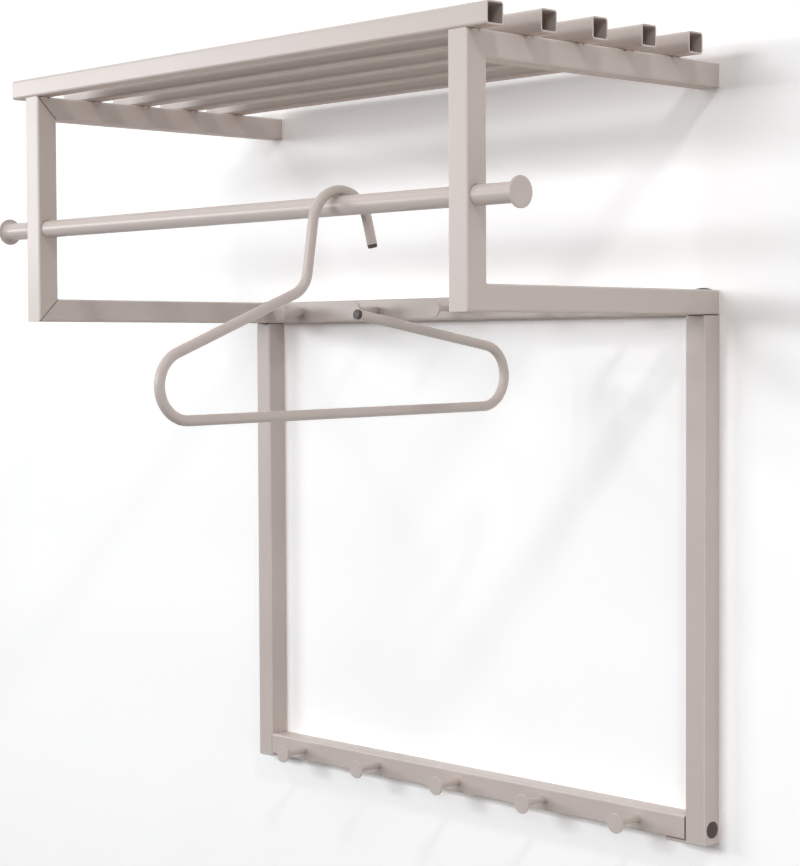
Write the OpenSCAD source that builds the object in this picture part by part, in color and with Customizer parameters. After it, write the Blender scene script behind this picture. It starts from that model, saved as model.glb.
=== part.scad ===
// Wall coat rack: a slatted hat shelf on two side frames, a clothes rail,
// and a frame on the wall with two rows of hooks. One bent tube hanger hangs on the rail.
// X runs along the wall, -Y points from the wall (y = 0) into the room, and Z is up.
// The origin is midway between the two upper keyholes, on the wall.

/* [Side frames] */
// Width of the rack over both side frames
rack_w = 700; // [500:5:1200]
// Depth from the wall to the front of the uprights
rack_depth = 356; // [280:1:450]
// Height of a side frame
side_h = 250; // [200:1:400]
// Side of the square frame tube
tube = 25; // [22:0.5:35]
// Wall of the frame tube
tube_wall = 1.5; // [1:0.1:2.5]
// Outside corner radius of the frame tube
tube_r = 2.5; // [1.5:0.1:4]
// Thickness of the caps that close the arms at the wall
cap_t = 4.5; // [2:0.5:5.5]
// Radius of the caps' edges at the wall
cap_edge = 4; // [1:0.5:5]
// Leg of the weld in the inner corners of a side frame
weld_leg = 2.5; // [1:0.5:4]

/* [Hat shelf] */
// Number of slats
slat_count = 5; // [3:1:7]
// Side of the square slat tube
slat = 21; // [14:0.5:28]
// Wall of the slat tube
slat_wall = 1.5; // [0.8:0.1:2]
// Outside corner radius of the slat tube
slat_r = 3; // [1:0.1:4]
// Length of slat beyond a side frame
slat_overhang = 25; // [5:1:60]
// How far the front slat stands proud of the uprights
slat_proud = 0.5; // [0:0.5:10]
// Space between the wall and the rear slat
slat_wall_gap = 60; // [10:0.5:90]
// Length of a tack weld under a slat
tack_len = 8; // [4:1:12]
// Thickness of a tack weld
tack_t = 2.4; // [1.6:0.2:4]

/* [Clothes rail] */
// Diameter of the clothes rail
rail_d = 19; // [12:0.5:20]
// Wall of the rail tube
rail_wall = 1.5; // [1:0.1:2.5]
// Height of the rail's axis above the underside of the side frames
rail_rise = 103; // [60:1:130]
// How far rail and knob reach beyond a side frame
rail_overhang = 54; // [30:1:120]
// Play of the rail in its holes, on the radius
rail_play = 0.3; // [0.1:0.05:0.5]
// Diameter of the end knob
knob_d = 29; // [24:0.5:40]
// Thickness of the knob's rim
knob_rim = 2.5; // [1.5:0.5:6]
// Radius of the hollow flare behind the rim
knob_flare = 4; // [1:0.5:8]
// Length of the knob's spigot inside the rail
knob_spigot = 14; // [8:1:25]

/* [Wall frame] */
// Height of the wall frame below the side frames
wall_frame_h = 532; // [300:1:900]
// Open joint at the stile tops and the ends of the lower bar
joint_gap = 0.8; // [0.4:0.1:2]
// Thickness of the foot plate
foot_t = 3; // [1.5:0.5:5]
// Length of the foot plate's lip under the lower bar
foot_lip = 26; // [10:1:60]
// Gap between the lip and the lower bar
lip_gap = 0.5; // [0.2:0.1:2]

/* [Hooks] */
// Number of hooks on each bar
hook_count = 5; // [2:1:7]
// Distance from a side frame to the first hook
hook_edge = 62; // [25:1:90]
// Diameter of the hook pin
pin_d = 8; // [6:0.5:12]
// Diameter of the hook's end disc
disc_d = 20.5; // [16:0.5:25]
// Thickness of the end disc
disc_t = 2.5; // [1.5:0.5:5]
// How far a hook reaches from its bar
hook_reach = 36; // [20:1:70]
// Diameter of the spigot that holds the hook in the bar
hook_spigot_d = 5; // [4:0.5:5.5]

/* [Wall fixing] */
// Diameter of the keyhole that lets a screw head in
key_head_d = 9; // [7:0.5:10]
// Width of the keyhole's slot
key_slot_w = 4.6; // [3.6:0.2:5.4]
// Rise from the middle of the head hole to the screw's seat
key_rise = 7; // [6:0.5:8]
// Height of the lower keyholes above the middle of the lower bar
low_key_rise = 53.5; // [35:0.5:150]

/* [Bolts and plugs] */
// Diameter of the frame bolts
bolt_d = 6; // [5:1:6]
// Diameter of the bolt head
bolt_head_d = 10; // [9:0.5:12]
// Height of the bolt head
bolt_head_h = 5; // [3:0.5:6]
// Length of the bolt under its head
bolt_len = 20; // [14:1:30]
// Size of the hexagon socket across its corners
bolt_hex = 5.7; // [4:0.1:6]
// Clearance of a bolt in a plain hole, on the radius
bolt_play = 0.25; // [0.1:0.05:0.5]
// Length of the insert inside a tube
insert_len = 18; // [12:1:30]
// Clearance of an insert in its tube, on each side
insert_play = 0.1; // [0.05:0.05:0.3]
// Diameter of the hole that lets the bolt and its key in
access_d = 14; // [12.5:0.5:15]
// Diameter of the plug over that hole
plug_d = 17; // [15.5:0.5:19]
// Height of the plug's dome
plug_dome = 2; // [1:0.5:4]
// Length of the plug's stem
plug_stem = 5; // [3:0.5:6]

/* [Hanger] */
// Diameter of the hanger's tube
wire_d = 10; // [7:0.5:12]
// Wall of the hanger's tube
wire_wall = 1.5; // [1:0.1:2]
// Place of the hanger along the rail, from the middle
hanger_x = 165; // [-200:1:200]
// Radius of the hook, at the middle of the tube
hook_r = 35; // [28:0.5:45]
// How far the hook's centre lies behind the rail's axis
hook_shift = 2; // [0:0.5:5]
// Lean of the hook's short end from upright
tip_lean = 15; // [0:0.5:30]
// Straight length of the hook's short end
tip_len = 24; // [10:0.5:40]
// Lean of the neck from upright
neck_lean = 8.5; // [0:0.5:20]
// Straight length of the neck
neck_len = 49.6; // [35:0.1:90]
// Bend radius from the neck to the front shoulder
neck_bend_r = 26; // [15:0.5:40]
// Slope of the front shoulder
front_slope = 21.6; // [12:0.1:30]
// Straight length of the front shoulder
front_len = 147.3; // [110:0.1:180]
// Bend radius at the front end
front_r = 31.5; // [24:0.5:40]
// Rise of the trouser bar from front to rear
base_rise = 0.8; // [0:0.1:3]
// Straight length of the trouser bar
base_len = 374.6; // [300:0.1:420]
// Bend radius at the rear end
rear_r = 31; // [24:0.5:40]
// Slope of the rear shoulder
rear_slope = 9.7; // [5:0.1:20]
// Straight length of the rear shoulder
rear_len = 176.2; // [120:0.1:190]
// Thickness of the plug heads in the hanger's ends
wire_plug_t = 4; // [1:0.5:5]

/* [Hidden] */
$fn = 48;

// Clearances between pieces that fit
spigot_play = 0.05;
stem_play = 0.2;
hang_gap = 0.3;
plug_rim = 0.5;

// Sizes of fine shapes
disc_edge = 0.8;
pin_fillet = 1.5;
foot_edge = 2.5;
seam_w = 0.8;
seam_depth = 0.6 * tube_wall;
cut = 1;
bend_swell = 0.02;
bend_seat = 0.2;

// Side frame: the top arm's middle is at z = 0
side_x = (rack_w - tube) / 2;
frame_top = tube / 2;
frame_bottom = frame_top - side_h;
upright_y = -rack_depth + tube / 2;
lower_arm_z = frame_bottom + tube / 2;
inner_x = rack_w / 2 - tube;

// Hat shelf
slat_len = rack_w + 2 * slat_overhang;
slat_front_y = -rack_depth - slat_proud + slat / 2;
slat_pitch = (rack_depth + slat_proud - slat_wall_gap - slat) / (slat_count - 1);
slat_z = frame_top + slat / 2;

// Clothes rail
rail_z = frame_bottom + rail_rise;
knob_len = knob_flare + knob_rim;
rail_end = rack_w / 2 + rail_overhang - knob_len;
rail_bore_r = rail_d / 2 - rail_wall;

// Wall frame
stile_top = frame_bottom - joint_gap;
foot_bottom = frame_bottom - wall_frame_h;
stile_bottom = foot_bottom + foot_t;
low_bar_z = stile_bottom + lip_gap + tube / 2;
low_bar_end = inner_x - joint_gap;
low_key_z = low_bar_z + low_key_rise;
hook_pitch = 2 * (inner_x - hook_edge) / (hook_count - 1);

// Hanger: each step is a straight length, then the radius and angle of the bend that follows it
hook_drop = sqrt(pow(hook_r - wire_d / 2 - rail_d / 2 - hang_gap, 2) - pow(hook_shift, 2));
hanger_steps = [
    [0, hook_r, 180 - tip_lean - neck_lean],
    [neck_len, neck_bend_r, front_slope + neck_lean - 90],
    [front_len, front_r, 180 - front_slope + base_rise],
    [base_len, rear_r, 180 - rear_slope - base_rise],
    [rear_len, 0, 0]
];

powder_coat = [0.80, 0.75, 0.73];
plug_brown = [0.28, 0.24, 0.22];
bolt_steel = [0.62, 0.62, 0.63];

SIDES = ["left", "right"];

// Places and directions

// Puts a piece drawn about x = 0 in the right-hand frame, or its mirror image in the left-hand one
module on_side(side) {
    if (side == "left") mirror([1, 0, 0]) translate([side_x, 0, 0]) children();
    else translate([side_x, 0, 0]) children();
}

// Turns a shape so that what was up points into the room
module into_room() rotate([90, 0, 0]) children();

// Turns a shape so that what was up points along +X, and its own x and y lie along Y and Z
module along_x() rotate([90, 0, 90]) children();

// Puts a shape at a front corner of the side frame, where -z always leads into the frame
module at_front_corner(top) {
    if (top) translate([0, -rack_depth, frame_top]) children();
    else translate([0, -rack_depth, frame_bottom]) mirror([0, 0, 1]) children();
}

// Profiles

module rounded_square(side, r) {
    square([side, side - 2 * r], center = true);
    square([side - 2 * r, side], center = true);
    for (x = [-1, 1], y = [-1, 1]) translate([x, y] * (side / 2 - r)) circle(r);
}

module tube_profile(side, wall, r) {
    difference() {
        rounded_square(side, r);
        rounded_square(side - 2 * wall, max(r - wall, 0.3));
    }
}

module frame_tube(length) linear_extrude(length) tube_profile(tube, tube_wall, tube_r);

// A bar section whose two corners at the far side, y = h, are rounded
module domed_slab(w, h, r) {
    translate([-w / 2, 0]) square([w, h - r]);
    translate([r - w / 2, 0]) square([w - 2 * r, h]);
    for (x = [-1, 1]) translate([x * (w / 2 - r), h - r]) circle(r);
}

// Side frames

// What a mitred end loses: the prism beyond the 45 degree plane through the corner
module beyond_mitre(of_arm) {
    far = tube + cut;
    third = of_arm ? [-cut, -far] : [far, cut];
    along_x() linear_extrude(tube + 2 * cut, center = true)
        polygon([[-cut, cut], [far, -far], third]);
}

// The open seam of the mitre on the inner face, where no weld fills it
module mitre_seam() {
    near = tube_r;
    far = tube - tube_r;
    h = seam_w / 2;
    translate([-tube / 2 - cut, 0, 0]) along_x() linear_extrude(seam_depth + cut)
        polygon([[near - h, -near - h], [near + h, -near + h], [far + h, -far + h], [far - h, -far - h]]);
}

module arm_tube(z) translate([0, -cap_t, z]) into_room() frame_tube(rack_depth - cap_t);

module top_arm(side) {
    color(powder_coat) on_side(side) difference() {
        arm_tube(0);
        at_front_corner(true) beyond_mitre(true);
        at_front_corner(true) mitre_seam();
    }
}

module lower_arm(side) {
    color(powder_coat) on_side(side) difference() {
        arm_tube(lower_arm_z);
        at_front_corner(false) beyond_mitre(true);
        at_front_corner(false) mitre_seam();
        translate([0, -tube / 2, lower_arm_z]) cylinder(d = access_d, h = tube);
        translate([0, -tube / 2, lower_arm_z - tube]) cylinder(r = bolt_d / 2 + bolt_play, h = tube);
    }
}

module upright(side) {
    color(powder_coat) on_side(side) difference() {
        translate([0, upright_y, frame_bottom]) frame_tube(side_h);
        for (top = [true, false]) at_front_corner(top) {
            beyond_mitre(false);
            mitre_seam();
        }
        translate([0, upright_y, rail_z + rail_play * 0.7])
            along_x() cylinder(r = rail_d / 2 + rail_play, h = 2 * tube, center = true);
    }
}

// Fillet welds across the inner corners
module corner_welds() {
    corner = tube + weld_leg;
    color(powder_coat) for (side = SIDES, top = [true, false]) on_side(side) at_front_corner(top)
        along_x() linear_extrude(tube - 2 * tube_r, center = true) difference() {
            translate([tube, -corner]) square(weld_leg);
            translate([corner, -corner]) circle(weld_leg);
        }
}

// Keyhole through a wall that lies on y = 0, with the head hole's middle at the origin
module keyhole(depth) {
    translate([0, cut, 0]) into_room() {
        cylinder(d = key_head_d, h = depth + cut);
        translate([0, key_rise, 0]) cylinder(d = key_slot_w, h = depth + cut);
        translate([-key_slot_w / 2, 0, 0]) cube([key_slot_w, key_rise, depth + cut]);
    }
}

// Cap welded on the wall end of an arm, its edges rounded towards the wall
module end_cap(side, z, with_keyhole) {
    r = min(cap_edge, cap_t - 0.5);
    color(powder_coat) on_side(side) translate([0, 0, z]) difference() {
        intersection() {
            into_room() linear_extrude(cap_t) rounded_square(tube, tube_r);
            translate([0, -cap_t, 0]) linear_extrude(tube, center = true) domed_slab(tube, cap_t, r);
            rotate([0, 90, 0]) translate([0, -cap_t, 0])
                linear_extrude(tube, center = true) domed_slab(tube, cap_t, r);
        }
        if (with_keyhole) keyhole(cap_t + cut);
    }
}

// Hat shelf

function slat_y(i) = slat_front_y + (i - 1) * slat_pitch;

module shelf_slat(i) {
    color(powder_coat) translate([0, slat_y(i), slat_z])
        along_x() linear_extrude(slat_len, center = true) tube_profile(slat, slat_wall, slat_r);
}

// Short beads in the crevices between a slat and the rounded top edges of an arm
module slat_welds() {
    straight = tack_len - tack_t;
    color(powder_coat) for (side = SIDES, i = [1 : slat_count]) on_side(side) difference() {
        for (edge = [-1, 1]) translate([edge * (tube / 2 - 0.5), slat_y(i), frame_top - tack_t / 2]) {
            rotate([90, 0, 0]) cylinder(d = tack_t, h = straight, center = true);
            for (end = [-1, 1]) translate([0, end * straight / 2, 0]) sphere(d = tack_t);
        }
        translate([0, slat_y(i), 0])
            rotate([90, 0, 0]) linear_extrude(2 * tack_len, center = true) rounded_square(tube, tube_r);
    }
}

// Clothes rail

module clothes_rail() {
    color(powder_coat) translate([0, upright_y, rail_z]) along_x()
        linear_extrude(2 * rail_end, center = true) difference() {
            circle(d = rail_d);
            circle(rail_bore_r);
        }
}

// Turned knob: a spigot in the rail, a hollow flare and a thin disc with soft edges
module rail_knob(side) {
    rail_r = rail_d / 2;
    color(powder_coat) mirror([side == "left" ? 1 : 0, 0, 0]) translate([rail_end, upright_y, rail_z])
        rotate([0, 90, 0]) rotate_extrude() {
            translate([0, -knob_spigot]) square([rail_bore_r - spigot_play, knob_spigot + cut]);
            square([rail_r, knob_len - cut]);
            difference() {
                translate([rail_r - cut, 0]) square([knob_flare + cut, knob_flare + knob_rim / 2]);
                translate([rail_r + knob_flare, 0]) circle(knob_flare);
            }
            translate([0, knob_flare]) soft_disc(knob_d / 2, knob_rim);
        }
}

// Half section of a disc whose rim has small rounds
module soft_disc(r, t) {
    e = min(disc_edge, t / 2 - 0.1);
    square([r - e, t]);
    translate([0, e]) square([r, t - 2 * e]);
    for (y = [e, t - e]) translate([r - e, y]) circle(e);
}

// Wall frame

module hook_holes(z) {
    for (i = [1 : hook_count]) translate([hook_x(i), -tube / 2, z])
        into_room() cylinder(r = hook_spigot_d / 2 + spigot_play, h = tube);
}

module top_hook_bar() {
    color(powder_coat) difference() {
        translate([0, -tube / 2, lower_arm_z]) along_x()
            linear_extrude(2 * inner_x, center = true) tube_profile(tube, tube_wall, tube_r);
        hook_holes(lower_arm_z);
    }
}

module bottom_hook_bar() {
    color(powder_coat) difference() {
        translate([0, -tube / 2, low_bar_z]) along_x()
            linear_extrude(2 * low_bar_end, center = true) tube_profile(tube, tube_wall, tube_r);
        hook_holes(low_bar_z);
    }
}

module stile(side) {
    color(powder_coat) on_side(side) difference() {
        translate([0, -tube / 2, stile_bottom]) frame_tube(stile_top - stile_bottom);
        translate([0, -tube / 2, low_bar_z]) along_x() {
            cylinder(d = access_d, h = tube);
            mirror([0, 0, 1]) cylinder(r = bolt_d / 2 + bolt_play, h = tube);
        }
        translate([0, 0, low_key_z]) keyhole(tube_wall + cut);
    }
}

// Plate welded under a stile, with a lip that runs in under the lower bar
module foot_plate(side) {
    len = tube + foot_lip;
    e = min(foot_edge, foot_t - 0.5);
    color(powder_coat) on_side(side) translate([tube / 2, -tube / 2, 0]) intersection() {
        translate([0, 0, foot_bottom]) linear_extrude(foot_t) union() {
            translate([-len, -tube / 2]) square([len - tube_r, tube]);
            translate([-tube, -tube / 2 + tube_r]) square([tube, tube - 2 * tube_r]);
            for (y = [-1, 1]) translate([-tube_r, y * (tube / 2 - tube_r)]) circle(tube_r);
        }
        translate([-len - cut, 0, stile_bottom]) rotate([-90, 0, -90])
            linear_extrude(len + 2 * cut) domed_slab(tube, foot_t, e);
        translate([-len / 2, 0, stile_bottom]) rotate([-90, 0, 0])
            linear_extrude(tube + 2 * cut, center = true) domed_slab(len, foot_t, e);
    }
}

// Hooks

function hook_x(i) = hook_edge - inner_x + (i - 1) * hook_pitch;

// Turned hook: a spigot in the bar's front wall, a pin with a small fillet, and a thin soft-edged disc
module coat_hook(i, z) {
    pin_r = pin_d / 2;
    disc_back = hook_reach - disc_t;
    color(powder_coat) translate([hook_x(i), -tube, z]) into_room() rotate_extrude() {
        translate([0, -tube_wall - cut]) square([hook_spigot_d / 2, tube_wall + 2 * cut]);
        square([pin_r, hook_reach - cut]);
        difference() {
            translate([pin_r - cut, disc_back - pin_fillet]) square([pin_fillet + cut, pin_fillet + cut]);
            translate([pin_r + pin_fillet, disc_back - pin_fillet]) circle(pin_fillet);
        }
        translate([0, disc_back]) soft_disc(disc_d / 2, disc_t);
    }
}

// Inserts, bolts and plugs

// Threaded insert: a block in the tube's end, drawn below z = 0, and a thin flange that fills the joint
module tube_insert() {
    block = tube - 2 * tube_wall - 2 * insert_play;
    color(plug_brown) difference() {
        union() {
            translate([0, 0, -insert_len]) linear_extrude(insert_len)
                rounded_square(block, max(tube_r - tube_wall, 0.3));
            linear_extrude(joint_gap) rounded_square(tube - 2 * joint_gap, tube_r);
        }
        translate([0, 0, -insert_len - cut])
            cylinder(r = bolt_d / 2 + spigot_play, h = insert_len + joint_gap + 2 * cut);
    }
}

module stile_insert(side) on_side(side) translate([0, -tube / 2, stile_top]) tube_insert();

module bar_insert(side) {
    mirror([side == "left" ? 1 : 0, 0, 0])
        translate([low_bar_end, -tube / 2, low_bar_z]) rotate([0, 90, 0]) tube_insert();
}

// Socket-head bolt whose head rests on z = 0 and whose shank points down
module frame_bolt() {
    color(bolt_steel) difference() {
        union() {
            cylinder(d = bolt_head_d, h = bolt_head_h);
            translate([0, 0, -bolt_len]) cylinder(d = bolt_d, h = bolt_len + cut);
        }
        translate([0, 0, bolt_head_h / 2]) cylinder(d = bolt_hex, h = bolt_head_h, $fn = 6);
    }
}

module frame_bolts() {
    for (side = SIDES) on_side(side)
        translate([0, -tube / 2, frame_bottom + tube_wall]) frame_bolt();
}

module bar_bolts() {
    for (side = SIDES) on_side(side)
        translate([-tube / 2 + tube_wall, -tube / 2, low_bar_z]) rotate([0, 90, 0]) frame_bolt();
}

// Press-in plug: a stem in the access hole, a thin rim on z = 0 and a low dome
module hole_plug() {
    r = plug_d / 2;
    dome_h = plug_dome - plug_rim;
    dome_r = (r * r + dome_h * dome_h) / (2 * dome_h);
    color(plug_brown) {
        translate([0, 0, -plug_stem]) cylinder(r = access_d / 2 - stem_play, h = plug_stem + plug_rim);
        cylinder(r = r, h = plug_rim);
        intersection() {
            translate([0, 0, plug_rim / 2]) cylinder(r = r, h = plug_dome);
            translate([0, 0, plug_dome - dome_r]) sphere(dome_r);
        }
    }
}

module arm_plug(side) on_side(side) translate([0, -tube / 2, frame_bottom + tube]) hole_plug();

module stile_plug(side) {
    on_side(side) translate([tube / 2, -tube / 2, low_bar_z]) rotate([0, 90, 0]) hole_plug();
}

// Hanger

module wire_profile(swell = 0) difference() {
    circle(wire_d / 2 + swell);
    circle(wire_d / 2 - wire_wall - swell);
}

// A straight along +x, which runs a little way into the bends at its ends
module straight_wire(length, seat_from, seat_to) {
    translate([-seat_from, 0, 0]) rotate([0, 90, 0])
        linear_extrude(length + seat_from + seat_to) wire_profile();
}

// A bend that starts along +x and turns left for a positive angle; its wall is a hair thicker
module bent_wire(r, turn) {
    mirror([0, turn < 0 ? 1 : 0, 0]) translate([0, r, 0]) rotate([0, 0, -90])
        rotate_extrude(angle = abs(turn)) translate([r, 0]) wire_profile(bend_swell);
}

// Moves to the end of a step and turns into its last direction
module after_step(step) {
    to_centre = sign(step[2]) * step[1];
    translate([step[0], to_centre, 0]) rotate([0, 0, step[2]]) translate([0, -to_centre, 0]) children();
}

module at_step(i) {
    if (i == 0) children();
    else at_step(i - 1) after_step(hanger_steps[i - 1]) children();
}

// The hanger's plane: its x runs to the wall and its y up, from the end of the hook's short leg
module at_hook_start() {
    translate([hanger_x, upright_y, rail_z]) along_x() translate([hook_shift, -hook_drop, 0])
        rotate([0, 0, tip_lean]) translate([hook_r, 0, 0]) rotate([0, 0, 90]) children();
}

module hanger() {
    color(powder_coat) at_hook_start() {
        rotate([0, 0, 180]) straight_wire(tip_len, bend_seat, 0);
        for (i = [0 : len(hanger_steps) - 1]) at_step(i) {
            length = hanger_steps[i][0];
            bend_r = hanger_steps[i][1];
            if (length > 0) straight_wire(length, bend_seat, bend_r > 0 ? bend_seat : 0);
            if (bend_r > 0) translate([length, 0, 0]) bent_wire(bend_r, hanger_steps[i][2]);
        }
    }
}

// Plug for an open tube end, its head drawn from x = 0 outwards
module wire_plug() {
    head_r = wire_d / 2 - 0.3;
    stem_r = wire_d / 2 - wire_wall - spigot_play;
    e = min(disc_edge, wire_plug_t / 2 - 0.1);
    color(plug_brown) rotate([0, 90, 0]) rotate_extrude() {
        translate([0, -2 * wire_plug_t]) square([stem_r, 2 * wire_plug_t + e]);
        square([head_r, wire_plug_t - e]);
        square([head_r - e, wire_plug_t]);
        translate([head_r - e, wire_plug_t - e]) circle(e);
    }
}

module hanger_plugs() {
    at_hook_start() {
        rotate([0, 0, 180]) translate([tip_len, 0, 0]) wire_plug();
        at_step(len(hanger_steps)) wire_plug();
    }
}

for (s = SIDES) {
    top_arm(s);
    upright(s);
    lower_arm(s);
    end_cap(s, 0, true);
    end_cap(s, lower_arm_z, false);
    rail_knob(s);
    stile(s);
    foot_plate(s);
    stile_insert(s);
    bar_insert(s);
    arm_plug(s);
    stile_plug(s);
}
corner_welds();
for (i = [1 : slat_count]) shelf_slat(i);
slat_welds();
clothes_rail();
top_hook_bar();
bottom_hook_bar();
for (i = [1 : hook_count]) {
    coat_hook(i, lower_arm_z);
    coat_hook(i, low_bar_z);
}
frame_bolts();
bar_bolts();
hanger();
hanger_plugs();
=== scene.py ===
import math
import random

import bpy
from mathutils import Matrix, Vector


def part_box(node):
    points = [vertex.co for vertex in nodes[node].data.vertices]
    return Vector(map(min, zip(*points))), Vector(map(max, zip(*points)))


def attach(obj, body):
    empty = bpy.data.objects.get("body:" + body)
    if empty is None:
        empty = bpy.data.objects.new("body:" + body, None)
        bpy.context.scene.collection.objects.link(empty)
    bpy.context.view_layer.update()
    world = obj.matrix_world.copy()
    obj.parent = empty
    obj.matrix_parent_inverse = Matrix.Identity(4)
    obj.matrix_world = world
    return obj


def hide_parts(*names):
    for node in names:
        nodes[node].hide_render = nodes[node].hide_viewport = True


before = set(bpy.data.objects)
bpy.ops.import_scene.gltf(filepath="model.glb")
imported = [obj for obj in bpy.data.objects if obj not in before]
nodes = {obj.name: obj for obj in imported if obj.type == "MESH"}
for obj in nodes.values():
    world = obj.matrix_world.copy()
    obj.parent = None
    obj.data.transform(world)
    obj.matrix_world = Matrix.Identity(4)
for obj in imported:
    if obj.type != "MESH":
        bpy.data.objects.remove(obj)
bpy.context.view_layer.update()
scene = bpy.context.scene
print("frame loaded:", len(nodes), "nodes")


# camera, at the photo's place

cameraView = {
    "place": (1.6897, -1.6909, -0.2725),
    "turn": 46.93,   # degrees round the vertical, from straight in front
    "tip": 2.19,     # looking down
    "roll": -0.25,
    "sensor": 36,    # mm, along the picture's height
    "lens": 88.80,
    "clip": (0.05, 60),
}


def addCamera(view):
    data = bpy.data.cameras.new("photoCamera")
    camera = bpy.data.objects.new("photoCamera", data)
    scene.collection.objects.link(camera)
    data.sensor_width = view["sensor"]
    data.lens = view["lens"]
    data.clip_start, data.clip_end = view["clip"]
    turned = (
        Matrix.Rotation(math.radians(view["turn"]), 4, "Z")
        @ Matrix.Rotation(math.radians(90 - view["tip"]), 4, "X")
        @ Matrix.Rotation(math.radians(view["roll"]), 4, "Z")
    )
    camera.matrix_world = Matrix.Translation(view["place"]) @ turned
    scene.camera = camera


addCamera(cameraView)
print("camera set")


# node helpers

floatSocket = "NodeSocketFloat"


def addNode(tree, kind, inputs=None, **settings):
    node = tree.nodes.new(kind)
    for name, value in settings.items():
        setattr(node, name, value)
    for name, value in (inputs or {}).items():
        if isinstance(value, bpy.types.NodeSocket):
            tree.links.new(value, node.inputs[name])
        else:
            node.inputs[name].default_value = value
    return node


def mathNode(tree, operation, first, second=0.0, third=0.0, clamp=False):
    node = addNode(tree, "ShaderNodeMath", {0: first, 1: second, 2: third}, operation=operation)
    node.use_clamp = clamp
    return node.outputs[0]


def spread(tree, signal, amount, middle):
    return mathNode(tree, "MULTIPLY_ADD", signal, amount, middle - amount / 2)


def smoothRamp(tree, value, start, full):   # 0 at start, 1 at full
    inputs = {"Value": value, "From Min": start, "From Max": full, "To Min": 0.0, "To Max": 1.0}
    return addNode(tree, "ShaderNodeMapRange", inputs, interpolation_type="SMOOTHSTEP").outputs[0]


def mixColour(tree, factor, first, second, blend="MIX"):
    node = addNode(tree, "ShaderNodeMix", data_type="RGBA", blend_type=blend)
    for socket, value in (("Factor_Float", factor), ("A_Color", first), ("B_Color", second)):
        target = next(s for s in node.inputs if s.identifier == socket)
        if isinstance(value, bpy.types.NodeSocket):
            tree.links.new(value, target)
        else:
            target.default_value = value
    return next(s for s in node.outputs if s.identifier == "Result_Color")


def objectPlace(tree):
    place = addNode(tree, "ShaderNodeTexCoord").outputs["Object"]
    return addNode(tree, "ShaderNodeSeparateXYZ", {0: place}).outputs


def newGroup(name, inputs, outputs):
    tree = bpy.data.node_groups.new(name, "ShaderNodeTree")
    for label, kind, value in inputs:
        socket = tree.interface.new_socket(name=label, in_out="INPUT", socket_type=kind)
        socket.default_value = value
    for label, kind in outputs:
        tree.interface.new_socket(name=label, in_out="OUTPUT", socket_type=kind)
    return tree, tree.nodes.new("NodeGroupInput"), tree.nodes.new("NodeGroupOutput")


def useGroup(tree, group, **values):
    node = addNode(tree, "ShaderNodeGroup", node_tree=group)
    for name, value in values.items():
        node.inputs[name].default_value = value
    return node


def newMaterial(name):
    material = bpy.data.materials.new(name)
    material.use_nodes = True
    tree = material.node_tree
    tree.nodes.clear()
    return material, tree


def putOut(tree, shader, kind="ShaderNodeOutputMaterial"):
    tree.links.new(shader.outputs[0], tree.nodes.new(kind).inputs["Surface"])


# shared effects

def makeGrain():
    tree, given, result = newGroup(
        "sprayedGrain",
        [("Size", floatSocket, 700.0), ("Fine", floatSocket, 2600.0), ("Cloud", floatSocket, 9.0)],
        [("Height", floatSocket), ("Speck", floatSocket), ("Cloudy", floatSocket)],
    )
    fineShare = 0.3   # how much the fine grain adds to the height
    place = addNode(tree, "ShaderNodeTexCoord").outputs["Object"]
    peel = addNode(tree, "ShaderNodeTexNoise",
                   {"Vector": place, "Scale": given.outputs["Size"], "Detail": 2.0, "Roughness": 0.45})
    fine = addNode(tree, "ShaderNodeTexNoise",
                   {"Vector": place, "Scale": given.outputs["Fine"], "Detail": 1.0, "Roughness": 0.5})
    cloud = addNode(tree, "ShaderNodeTexNoise",
                    {"Vector": place, "Scale": given.outputs["Cloud"], "Detail": 3.0, "Roughness": 0.55})
    height = mathNode(tree, "MULTIPLY_ADD", fine.outputs[0], fineShare, peel.outputs[0])
    tree.links.new(height, result.inputs["Height"])
    tree.links.new(fine.outputs[0], result.inputs["Speck"])
    tree.links.new(cloud.outputs[0], result.inputs["Cloudy"])
    return tree


# mask for the painted highlight along rounded edges
def makeEdges():
    tree, given, result = newGroup(
        "thinEdges",
        [("Radius", floatSocket, 0.0012), ("Strength", floatSocket, 1.0)],
        [("Edge", floatSocket)],
    )
    rounded = addNode(tree, "ShaderNodeBevel", {"Radius": given.outputs["Radius"]}, samples=4)
    surface = addNode(tree, "ShaderNodeNewGeometry")
    same = addNode(tree, "ShaderNodeVectorMath",
                   {0: rounded.outputs[0], 1: surface.outputs["Normal"]}, operation="DOT_PRODUCT")
    turned = mathNode(tree, "SUBTRACT", 1.0, same.outputs["Value"])
    edge = mathNode(tree, "MULTIPLY", turned, given.outputs["Strength"], clamp=True)
    tree.links.new(edge, result.inputs["Edge"])
    return tree


def makeCorners():   # how far a face turns away from all three axes, the mask of the painted corner highlight
    tree, given, result = newGroup(
        "roundedCorners",
        [("Start", floatSocket, 0.03), ("Full", floatSocket, 0.20)],
        [("Corner", floatSocket)],
    )
    facing = addNode(tree, "ShaderNodeVectorMath",
                     {0: addNode(tree, "ShaderNodeNewGeometry").outputs["Normal"]}, operation="ABSOLUTE")
    parts = addNode(tree, "ShaderNodeSeparateXYZ", {0: facing.outputs[0]}).outputs
    largest = mathNode(tree, "MAXIMUM", mathNode(tree, "MAXIMUM", parts["X"], parts["Y"]), parts["Z"])
    corner = smoothRamp(tree, mathNode(tree, "SUBTRACT", 1.0, largest),
                        given.outputs["Start"], given.outputs["Full"])
    tree.links.new(corner, result.inputs["Corner"])
    return tree


grainGroup = makeGrain()
edgeGroup = makeEdges()
cornerGroup = makeCorners()


# places that the finishes and welds follow, from the frame

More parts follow.
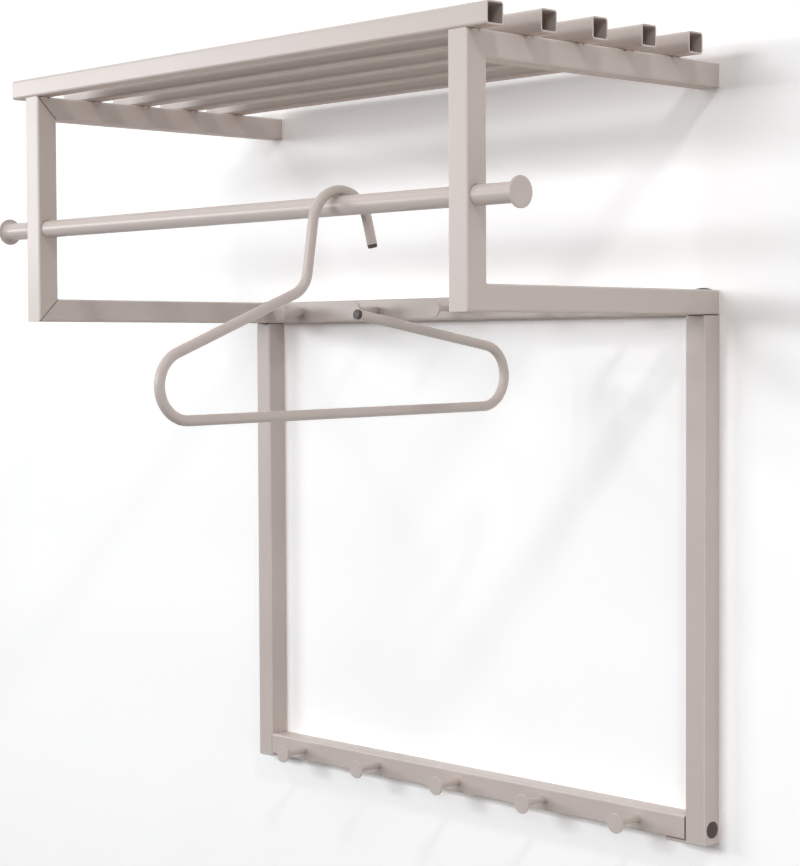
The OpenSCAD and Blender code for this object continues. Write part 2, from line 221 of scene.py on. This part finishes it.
def measureShelf():
    low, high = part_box("slat_1")
    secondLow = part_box("slat_2")[0]
    armLow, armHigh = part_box("right_top_arm")
    return {
        "count": sum(name.removeprefix("slat_").isdigit() for name in nodes),
        "side": high[2] - low[2],
        "firstY": (low[1] + high[1]) / 2,
        "pitch": secondLow[1] - low[1],
        "middleZ": (low[2] + high[2]) / 2,
        "under": low[2],
        "endX": high[0],
        "armX": (armLow[0] + armHigh[0]) / 2,
        "armHalf": (armHigh[0] - armLow[0]) / 2,
    }


def measureMitres():
    low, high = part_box("left_upright")
    return {
        "upper": low[1] + high[2],   # y + z on the upper mitre
        "lower": low[1] - low[2],    # y - z on the lower one
        "middle": (low[2] + high[2]) / 2,
        "innerX": -high[0],
    }


shelf = measureShelf()
mitre = measureMitres()


# finishes

powderCoat = {
    "colour": (0.605, 0.516, 0.470, 1),
    "cloudShare": 0.05,   # how far the tone drifts along a tube
    "speckShare": 0.03,
    # painted highlight: rounded edges and corners lighten towards this colour
    "edgeHighlightColour": (0.780, 0.730, 0.710, 1),
    "edgeShare": 0.55,
    "edgeRadius": 0.0014,
    "edgeStrength": 3.0,
    "cornerShare": 0.45,   # painted highlight along the square tubes' rounded corners
    "roughness": 0.36,
    "roughSpread": 0.08,
    "bumpStrength": 0.5,
    "bumpDepth": 0.00005,   # metres
    "underShadeTone": (0.90, 0.82, 0.76, 1),   # painted shade: faces turned down are darker and warmer
    "underRough": 0.16,
    "underRange": (-0.35, -0.90),   # the normal's z where that starts and where it is full
}

# painted shade in the open mitre gaps on the side frames' inner faces
mitreGapShade = {
    "colour": (0.075, 0.058, 0.050, 1),
    "halfWidth": 0.00058,   # across y plus z
    "fade": 0.25,           # of the half width, each way
    "plainWidths": 3,       # half widths beside a mitre where the painted edge and corner highlight is left out
    "pastInner": 0.0012,    # the mitres stay open on the inner faces, out to this far past them
    "rough": 0.3,
}

openSlat = {
    "wall": 0.0015,
    "slack": 0.0001,               # so that the wall of the bore counts as inside it
    "coatReach": (0.003, 0.030),   # where the coat starts to thin inside a slat, and where it ends
    "bareColour": (0.340, 0.282, 0.248, 1),
    "bareRough": 0.15,
    "bareMetal": 0.2,
}

plugPlastic = {
    "colour": (0.062, 0.041, 0.034, 1),
    "edgeHighlightColour": (0.1364, 0.0902, 0.0748, 1),
    "edgeShare": 0.25,
    "edgeRadius": 0.0006,
    "edgeStrength": 2.0,
    "grain": {"Size": 1500.0, "Fine": 5200.0, "Cloud": 60.0},
    "cloudShare": 0.16,
    "roughness": 0.50,
    "roughSpread": 0.12,
    "roughFrom": "Cloudy",
    "bumpStrength": 0.5,
    "bumpDepth": 0.00004,
    "metallic": 0.0,
}

insertPlastic = dict(plugPlastic, colour=(0.060, 0.050, 0.045, 1),
                     edgeHighlightColour=(0.132, 0.110, 0.099, 1), roughness=0.55)

zincSteel = {
    "colour": (0.56, 0.57, 0.59, 1),
    "edgeHighlightColour": (0.78, 0.78, 0.78, 1),
    "edgeShare": 0.4,
    "edgeRadius": 0.0005,
    "edgeStrength": 2.0,
    "grain": {"Size": 1100.0, "Fine": 4000.0, "Cloud": 150.0},
    "cloudShare": 0.2,
    "roughness": 0.32,
    "roughSpread": 0.2,
    "roughFrom": "Speck",
    "bumpStrength": 0.3,
    "bumpDepth": 0.00003,
    "metallic": 1.0,
}


# share of the painted highlight along rounded edges
def edgeMask(tree, values):
    edges = useGroup(tree, edgeGroup, Radius=values["edgeRadius"], Strength=values["edgeStrength"])
    return mathNode(tree, "MULTIPLY", edges.outputs["Edge"], values["edgeShare"])


def grainBump(tree, grain, values):
    bump = addNode(tree, "ShaderNodeBump", {"Height": grain.outputs["Height"],
                                            "Strength": values["bumpStrength"],
                                            "Distance": values["bumpDepth"]})
    return bump.outputs[0]


def coatNodes(tree, values, squared, plain=None):   # plain masks out the painted edge and corner highlight
    grain = useGroup(tree, grainGroup)
    cloud = spread(tree, grain.outputs["Cloudy"], values["cloudShare"], 1.0)
    tone = mathNode(tree, "MULTIPLY_ADD", grain.outputs["Speck"], values["speckShare"], cloud)
    tone = mathNode(tree, "SUBTRACT", tone, values["speckShare"] / 2)
    toned = mixColour(tree, 1.0, values["colour"], tone, "MULTIPLY")
    # painted highlight along edges, and on square tubes along their rounded corners
    share = edgeMask(tree, values)
    if squared:
        corner = useGroup(tree, cornerGroup).outputs["Corner"]
        share = mathNode(tree, "MAXIMUM", share, mathNode(tree, "MULTIPLY", corner, values["cornerShare"]))
    if plain:
        share = mathNode(tree, "MULTIPLY", share, mathNode(tree, "SUBTRACT", 1.0, plain))
    colour = mixColour(tree, share, toned, values["edgeHighlightColour"])
    rough = spread(tree, grain.outputs["Cloudy"], values["roughSpread"], values["roughness"])
    if squared:
        # painted shade on the faces turned down, which also get rougher
        normal = addNode(tree, "ShaderNodeNewGeometry").outputs["True Normal"]
        facing = addNode(tree, "ShaderNodeSeparateXYZ", {0: normal}).outputs
        under = smoothRamp(tree, facing["Z"], *values["underRange"])
        shadedUnder = mixColour(tree, 1.0, colour, values["underShadeTone"], "MULTIPLY")
        colour = mixColour(tree, under, colour, shadedUnder)
        rough = mathNode(tree, "MULTIPLY_ADD", under, values["underRough"], rough)
    return colour, rough, grainBump(tree, grain, values)


def makePowderCoat(name, coat, squared):
    material, tree = newMaterial(name)
    colour, rough, normal = coatNodes(tree, coat, squared)
    putOut(tree, addNode(tree, "ShaderNodeBsdfPrincipled",
                         {"Base Color": colour, "Roughness": rough, "Normal": normal}))
    return material


def makeFrameCoat(coat, seam):   # painted shade: a dark line along the open mitres on the inner faces
    material, tree = newMaterial("greigePowderCoatMitred")
    place = objectPlace(tree)
    upper = mathNode(tree, "SUBTRACT", mathNode(tree, "ADD", place["Y"], place["Z"]), mitre["upper"])
    lower = mathNode(tree, "SUBTRACT", mathNode(tree, "SUBTRACT", place["Y"], place["Z"]), mitre["lower"])
    isHigh = mathNode(tree, "GREATER_THAN", place["Z"], mitre["middle"])
    apart = mathNode(tree, "SUBTRACT", upper, lower)
    nearest = mathNode(tree, "ABSOLUTE", mathNode(tree, "MULTIPLY_ADD", apart, isHigh, lower))
    line = smoothRamp(tree, nearest, seam["halfWidth"] * (1 + seam["fade"]),
                      seam["halfWidth"] * (1 - seam["fade"]))
    inner = mathNode(tree, "LESS_THAN", mathNode(tree, "ABSOLUTE", place["X"]),
                     mitre["innerX"] + seam["pastInner"])
    dark = mathNode(tree, "MULTIPLY", line, inner)
    plain = mathNode(tree, "LESS_THAN", nearest, seam["halfWidth"] * seam["plainWidths"])
    colour, rough, normal = coatNodes(tree, coat, True, plain)
    putOut(tree, addNode(tree, "ShaderNodeBsdfPrincipled",
                         {"Base Color": mixColour(tree, dark, colour, seam["colour"]),
                          "Roughness": mathNode(tree, "MULTIPLY_ADD", dark, seam["rough"], rough),
                          "Normal": normal}))
    return material


def makeSlatCoat(coat, slat):   # bare metal inside the bores, past the coat's reach
    material, tree = newMaterial("greigePowderCoatOpenTube")
    colour, rough, normal = coatNodes(tree, coat, True)
    place = objectPlace(tree)
    pastFirst = mathNode(tree, "SUBTRACT", place["Y"], shelf["firstY"])
    fromSlat = mathNode(tree, "PINGPONG", pastFirst, shelf["pitch"] / 2)
    fromMiddle = mathNode(tree, "ABSOLUTE", mathNode(tree, "SUBTRACT", place["Z"], shelf["middleZ"]))
    inBore = mathNode(tree, "LESS_THAN", mathNode(tree, "MAXIMUM", fromSlat, fromMiddle),
                      shelf["side"] / 2 - slat["wall"] + slat["slack"])
    start, end = slat["coatReach"]
    deep = smoothRamp(tree, mathNode(tree, "ABSOLUTE", place["X"]), shelf["endX"] - start,
                      shelf["endX"] - end)
    bare = mathNode(tree, "MULTIPLY", deep, inBore)
    putOut(tree, addNode(tree, "ShaderNodeBsdfPrincipled",
                         {"Base Color": mixColour(tree, bare, colour, slat["bareColour"]),
                          "Roughness": mathNode(tree, "MULTIPLY_ADD", bare, slat["bareRough"], rough),
                          "Metallic": mathNode(tree, "MULTIPLY", bare, slat["bareMetal"]),
                          "Normal": normal}))
    return material


def makeSmallPartFinish(name, values):
    material, tree = newMaterial(name)
    grain = useGroup(tree, grainGroup, **values["grain"])
    tone = spread(tree, grain.outputs["Cloudy"], values["cloudShare"], 1.0)
    toned = mixColour(tree, 1.0, values["colour"], tone, "MULTIPLY")
    # painted highlight: the edges lighten towards the edge highlight colour
    edgeHighlighted = mixColour(tree, edgeMask(tree, values), toned, values["edgeHighlightColour"])
    rough = spread(tree, grain.outputs[values["roughFrom"]], values["roughSpread"], values["roughness"])
    putOut(tree, addNode(tree, "ShaderNodeBsdfPrincipled",
                         {"Base Color": edgeHighlighted, "Roughness": rough, "Metallic": values["metallic"],
                          "Normal": grainBump(tree, grain, values)}))
    return material


coatMaterial = makePowderCoat("greigePowderCoat", powderCoat, False)
squareMaterial = makePowderCoat("greigePowderCoatSquare", powderCoat, True)
slatMaterial = makeSlatCoat(powderCoat, openSlat)
frameMaterial = makeFrameCoat(powderCoat, mitreGapShade)
plugMaterial = makeSmallPartFinish("brownPlugPlastic", plugPlastic)
insertMaterial = makeSmallPartFinish("darkInsertPlastic", insertPlastic)
steelMaterial = makeSmallPartFinish("zincPlatedSteel", zincSteel)


def finishFor(name):
    if name.startswith("slat_") and name != "slat_welds":
        return slatMaterial
    if name.endswith(("_top_arm", "_upright", "_lower_arm")):
        return frameMaterial
    if name.endswith(("_stile", "_hook_bar", "_cap")):
        return squareMaterial
    if "insert" in name:
        return insertMaterial
    if "plug" in name:
        return plugMaterial
    if name.endswith("_bolts"):
        return steelMaterial
    return coatMaterial


for name, node in nodes.items():
    for slot in node.material_slots:
        slot.material = finishFor(name)
print("finishes on", len(nodes), "nodes")


# tack welds between slats and arms

tackWeld = {
    "length": 0.0076,
    "width": 0.0036,
    "segments": 20,
    "ripples": 5,
    "ringsPerRipple": 4,
    "rippleDepth": 0.10,
    "smoothAngle": 50,         # degrees
    "intoArm": 0.0002,         # from the arm's side in to the bead's middle
    "drop": 0.0012,            # from the slats' underside down to the bead's middle
    "widths": (0.90, 1.05),    # shares between which the beads vary
    "lengths": (0.88, 1.12),
    "turnSpread": 4,           # degrees
    "placeSpread": 0.0015,
    "seed": 7,
}


def deselectAll():
    if bpy.context.mode != "OBJECT":
        bpy.ops.object.mode_set(mode="OBJECT")
    bpy.ops.object.select_all(action="DESELECT")


def settle(*objects):
    deselectAll()
    for one in objects:
        one.select_set(True)
    bpy.context.view_layer.objects.active = objects[0]
    bpy.ops.object.transform_apply(location=True, rotation=True, scale=True)


def selectWhere(obj, test):
    bpy.ops.object.mode_set(mode="OBJECT")
    for face in obj.data.polygons:
        face.select = False
    for edge in obj.data.edges:
        edge.select = False
    for vertex in obj.data.vertices:
        vertex.select = test(vertex.co)
    bpy.ops.object.mode_set(mode="EDIT")
    bpy.ops.mesh.select_mode(type="VERT")


def makeBead(values):
    rings = values["ripples"] * values["ringsPerRipple"]
    half = values["length"] / 2
    nearRing = half * 0.004   # so that only one ring is taken at a time
    deselectAll()
    bpy.ops.mesh.primitive_uv_sphere_add(segments=values["segments"], ring_count=rings, radius=0.5,
                                         location=(0, 0, 0), rotation=(math.radians(90), 0, 0))
    bead = bpy.context.object
    bead.name = "tackBead"
    bead.scale = (values["width"], values["width"], values["length"])   # from a ball 1 across
    settle(bead)
    for k in range(1, rings):
        y = -half * math.cos(math.pi * k / rings)
        size = 1 + values["rippleDepth"] * math.cos(2 * math.pi * k / values["ringsPerRipple"])
        selectWhere(bead, lambda co: abs(co.y - y) < nearRing)
        bpy.ops.transform.resize(value=(size, 1, size), center_override=(0, y, 0))
    bpy.ops.mesh.select_all(action="SELECT")
    bpy.ops.mesh.bisect(plane_co=(0, 0, values["drop"]), plane_no=(0, 0, 1), clear_outer=True, use_fill=True)
    bpy.ops.object.mode_set(mode="OBJECT")
    bpy.ops.object.shade_smooth_by_angle(angle=math.radians(values["smoothAngle"]))
    return bead


def makeTackWelds(values):
    chance = random.Random(values["seed"])
    turnSpread, placeSpread = values["turnSpread"], values["placeSpread"]
    bead = makeBead(values)
    beads = []
    for side in (-1, 1):
        for i in range(shelf["count"]):
            for edge in (-1, 1):
                copied = bead.copy()
                copied.data = bead.data.copy()
                scene.collection.objects.link(copied)
                wide = chance.uniform(*values["widths"])
                copied.scale = (wide, chance.uniform(*values["lengths"]), 1)
                turn = chance.choice((0, 180)) + chance.uniform(-turnSpread, turnSpread)
                copied.rotation_euler.z = math.radians(turn)
                x = side * shelf["armX"] + edge * (shelf["armHalf"] - values["intoArm"])
                y = shelf["firstY"] + shelf["pitch"] * i + chance.uniform(-placeSpread, placeSpread)
                copied.location = (x, y, shelf["under"] - values["drop"])
                beads.append(copied)
    bpy.data.objects.remove(bead)
    settle(*beads)
    bpy.ops.object.join()
    joined = bpy.context.object
    joined.name = "slat_tack_beads"
    joined.data.materials.clear()
    joined.data.materials.append(coatMaterial)
    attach(joined, "rack")
    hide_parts("slat_welds")


makeTackWelds(tackWeld)
print("tack welds laid")


# wall, floor and light

room = {
    "wallY": 0.0004,
    "floorZ": -1.80,
    "wallTop": 2.2,
    "halfWidth": 4.5,
    "depth": 7.0,
    "paint": (1.05, 1.05, 1.05, 1),          # what the wall throws back at the rack
    "floorPaint": (0.12, 0.12, 0.12, 1),     # what the floor throws back at the shelf's underside
    "seenPaint": (1.245, 1.222, 1.200, 1),   # what the camera sees of both, white where lit
    "nearGap": 0.0012,   # metres within which a touching face sees past the wall
}


def seenDirectly(tree, path):   # by the camera, in gloss or through glass
    seen = mathNode(tree, "MAXIMUM", path.outputs["Is Camera Ray"], path.outputs["Is Glossy Ray"])
    return mathNode(tree, "MAXIMUM", seen, path.outputs["Is Transmission Ray"])


def makePaint(name, values, colour, letNear):
    material, tree = newMaterial(name)
    path = addNode(tree, "ShaderNodeLightPath")
    paint = addNode(tree, "ShaderNodeBsdfDiffuse",
                    {"Color": mixColour(tree, seenDirectly(tree, path), colour, values["seenPaint"])})
    through = addNode(tree, "ShaderNodeNewGeometry").outputs["Backfacing"]
    if letNear:
        near = mathNode(tree, "LESS_THAN", path.outputs["Ray Length"], values["nearGap"])
        through = mathNode(tree, "MAXIMUM", through, near)
    clear = addNode(tree, "ShaderNodeBsdfTransparent")
    putOut(tree, addNode(tree, "ShaderNodeMixShader",
                         {0: through, 1: paint.outputs[0], 2: clear.outputs[0]}))
    return material


def addPlane(name, place, tilt, width, length, material):
    deselectAll()
    bpy.ops.mesh.primitive_plane_add(size=1, rotation=(math.radians(tilt), 0, 0), location=place)
    plane = bpy.context.object
    plane.name = name
    plane.scale = (width, length, 1)
    settle(plane)
    plane.data.materials.append(material)
    return plane


def addStage(values):
    height = values["wallTop"] - values["floorZ"]
    wall = addPlane("wall", (0, values["wallY"], values["floorZ"] + height / 2), 90,
                    values["halfWidth"] * 2, height,
                    makePaint("wallPaint", values, values["paint"], True))
    floor = addPlane("floor", (0, values["wallY"] - values["depth"] / 2, values["floorZ"]), 0,
                     values["halfWidth"] * 2, values["depth"],
                     makePaint("floorPaint", values, values["floorPaint"], False))


addStage(room)

coolLight = (0.960, 1.0, 1.045)
whiteLight = (1.0, 1.0, 1.0)
lamps = {
    "leftWindow": {"place": (-3.2, -2.65, 0.25), "aim": (0.0, -0.3, -0.1), "size": (1.6, 0.5), "power": 37.5,
                   "colour": (0.970, 1.0, 1.030)},
    "frontStrip": {"place": (-0.3, -3.2, 0.72), "aim": (0.0, 0.0, 0.0), "size": (1.6, 0.3), "power": 27,
                   "colour": coolLight},
    "frontLevel": {"place": (-0.3, -3.2, 0.15), "aim": (0.0, 0.0, 0.0), "size": (1.6, 0.3), "power": 17,
                   "colour": coolLight},
    "rightLow": {"place": (1.5, -0.55, -0.8), "aim": (0.0, -0.15, -0.2), "size": (0.8, 0.8), "power": 3.2,
                 "colour": whiteLight},
    "rightKey": {"place": (2.15, -1.6, 1.85), "aim": (0.0, -0.15, -0.3), "size": (0.3, 0.3), "power": 16,
                 "colour": whiteLight},
    "leftKey": {"place": (-2.15, -1.6, 1.85), "aim": (0.0, -0.15, -0.3), "size": (0.3, 0.3), "power": 4,
                "colour": whiteLight},
}
surround = {
    "above": 0.38,    # strength in front of the wall, from above the horizon
    "below": 0.01,
    "behind": 0.60,   # behind the wall, which lights only what shows from the back
}


def addLamp(name, values):
    data = bpy.data.lights.new(name, "AREA")
    data.shape = "RECTANGLE"
    data.size, data.size_y = values["size"]
    data.energy = values["power"]
    data.color = values["colour"]
    lamp = bpy.data.objects.new(name, data)
    scene.collection.objects.link(lamp)
    lamp.location = values["place"]
    away = Vector(values["place"]) - Vector(values["aim"])
    lamp.rotation_euler = away.to_track_quat("Z", "Y").to_euler()
    lamp.visible_camera = False


for name, values in lamps.items():
    addLamp(name, values)


def addWorld(values):
    world = bpy.data.worlds.new("studio")
    scene.world = world
    world.use_nodes = True
    tree = world.node_tree
    tree.nodes.clear()
    seen = seenDirectly(tree, addNode(tree, "ShaderNodeLightPath"))
    toward = addNode(tree, "ShaderNodeSeparateXYZ",
                     {0: addNode(tree, "ShaderNodeTexCoord").outputs["Generated"]})
    behind = mathNode(tree, "GREATER_THAN", toward.outputs["Y"], 0.0)
    above = mathNode(tree, "GREATER_THAN", toward.outputs["Z"], 0.0)
    front = mathNode(tree, "MULTIPLY_ADD", above, values["above"] - values["below"], values["below"])
    level = mathNode(tree, "MAXIMUM", front, mathNode(tree, "MULTIPLY", behind, values["behind"]))
    level = mathNode(tree, "MAXIMUM", level, seen)
    white = addNode(tree, "ShaderNodeBackground", {"Color": (1, 1, 1, 1), "Strength": level})
    putOut(tree, white, "ShaderNodeOutputWorld")


addWorld(surround)
scene.view_settings.view_transform = "Standard"
print("stage and light set")
